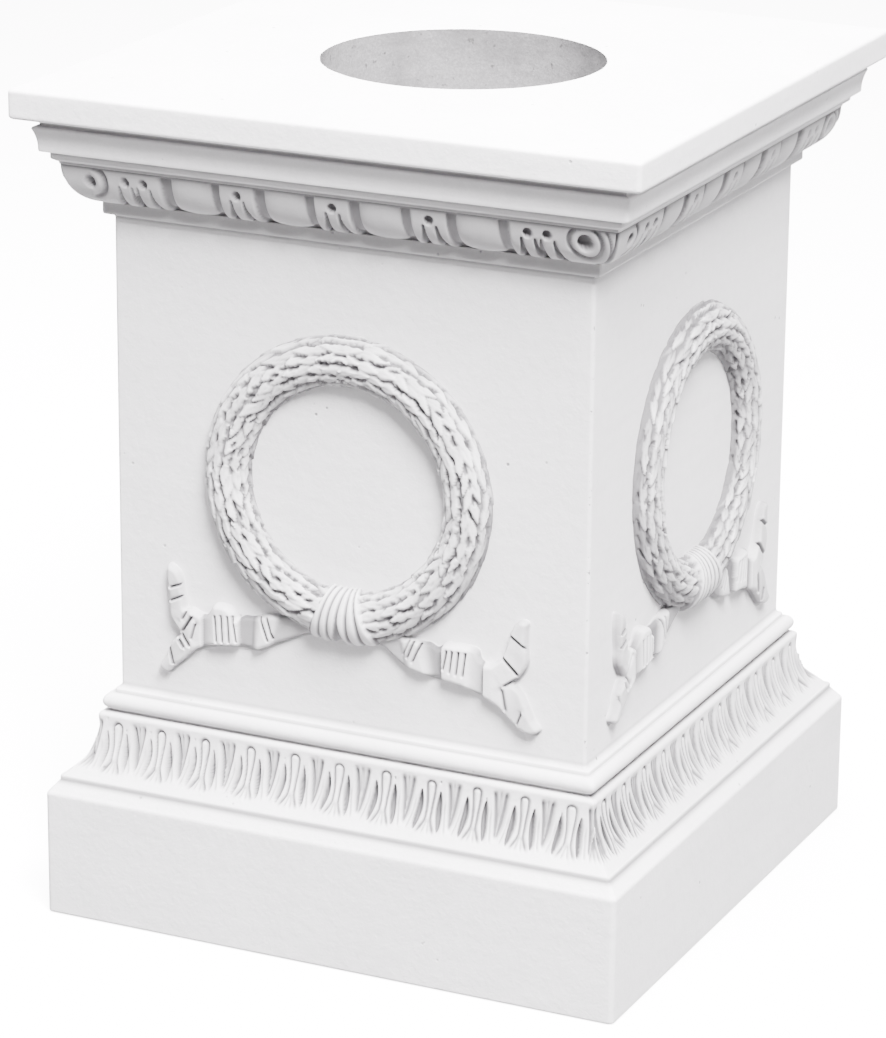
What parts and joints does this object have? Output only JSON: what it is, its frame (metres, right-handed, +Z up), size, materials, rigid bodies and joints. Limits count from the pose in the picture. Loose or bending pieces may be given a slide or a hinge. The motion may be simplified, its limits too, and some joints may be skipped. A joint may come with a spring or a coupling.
{
  "type": "garden pedestal",
  "caption": "Square baroque garden pedestal of white cast stone with laurel wreaths and ribbons on its faces, an egg-and-dart cap, a carved leaf band over a plain plinth and a round bore.",
  "frame": {"origin": "middle of the square underside, on the ground", "axes": "+Z up along the bore's axis; -Y is the face seen widest in the picture and +X the face to its right"},
  "size_m": [0.4, 0.4, 0.52],
  "materials": {
    "white_cast_stone": "matte cast stone with a faint mottle, pinholes and softly rounded arrises; rough grey inside the bore"
  },
  "bodies": {
    "root": {"pedestal": "white_cast_stone"}
  },
  "joints": []
}
